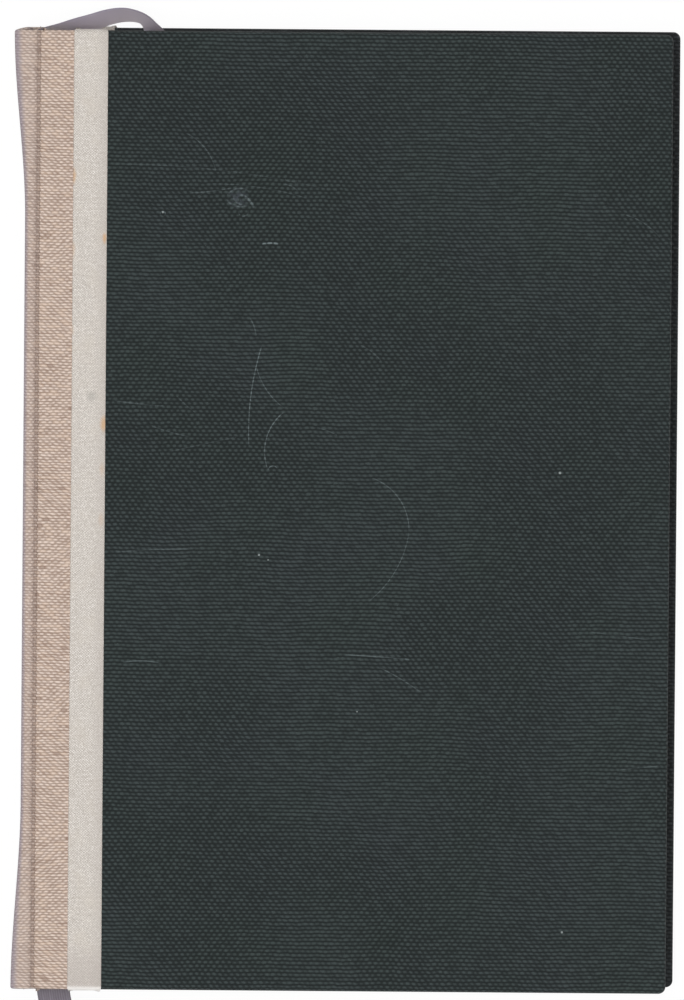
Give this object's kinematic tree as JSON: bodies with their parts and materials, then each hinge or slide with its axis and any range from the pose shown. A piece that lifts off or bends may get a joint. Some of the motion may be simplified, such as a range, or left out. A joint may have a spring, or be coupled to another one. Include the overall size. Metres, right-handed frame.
{
  "type": "hardback book",
  "caption": "Closed hardback book with a linen spine, dark green canvas covers, a pale trim strip, a ribbon marker, and covers that open on their joints.",
  "frame": {"origin": "middle of the footprint of the book without its ribbon, on the surface it lies on", "axes": "+X from the spine to the fore-edge, +Y from tail to head, +Z from back cover to front cover"},
  "size_m": [0.143, 0.2424, 0.0284],
  "materials": {
    "green_canvas": "coarse plain-woven book canvas, dark green",
    "natural_linen": "natural slubby linen",
    "cream_strip": "fine ribbed cream cloth strip with a slight shine",
    "grey_board": "grey binder's board",
    "spine_card": "thin grey card",
    "endpaper": "smooth off-white endpaper",
    "book_paper": "trimmed page edges, slightly toned",
    "lining_paper": "brown lining paper",
    "mull": "open starched gauze",
    "headband_thread": "sewn two-colour headband",
    "ribbon_satin": "grey-mauve satin ribbon"
  },
  "bodies": {
    "block": {"text_block": "book_paper", "front_flyleaf": "endpaper", "back_flyleaf": "endpaper", "spine_mull": "mull", "spine_lining": "lining_paper", "spine_card": "spine_card", "spine_linen": "natural_linen", "head_band": "headband_thread", "tail_band": "headband_thread", "ribbon_marker": "ribbon_satin"},
    "front_cover": {"front_board": "grey_board", "front_cloth": "green_canvas", "front_joint_linen": "natural_linen", "front_strip": "cream_strip", "front_mull_flap": "mull", "front_pastedown": "endpaper"},
    "back_cover": {"back_board": "grey_board", "back_cloth": "green_canvas", "back_joint_linen": "natural_linen", "back_strip": "cream_strip", "back_mull_flap": "mull", "back_pastedown": "endpaper"}
  },
  "joints": [
    {"name": "front_hinge", "type": "hinge", "parent": "block", "child": "front_cover", "pos_m": [-0.06625, 0, 0.02825], "axis": [0, -1, 0], "range_deg": [0, 180]},
    {"name": "back_hinge", "type": "hinge", "parent": "block", "child": "back_cover", "pos_m": [-0.06445, 0, 0.00015], "axis": [0, 1, 0], "range_deg": [0, 180]}
  ]
}
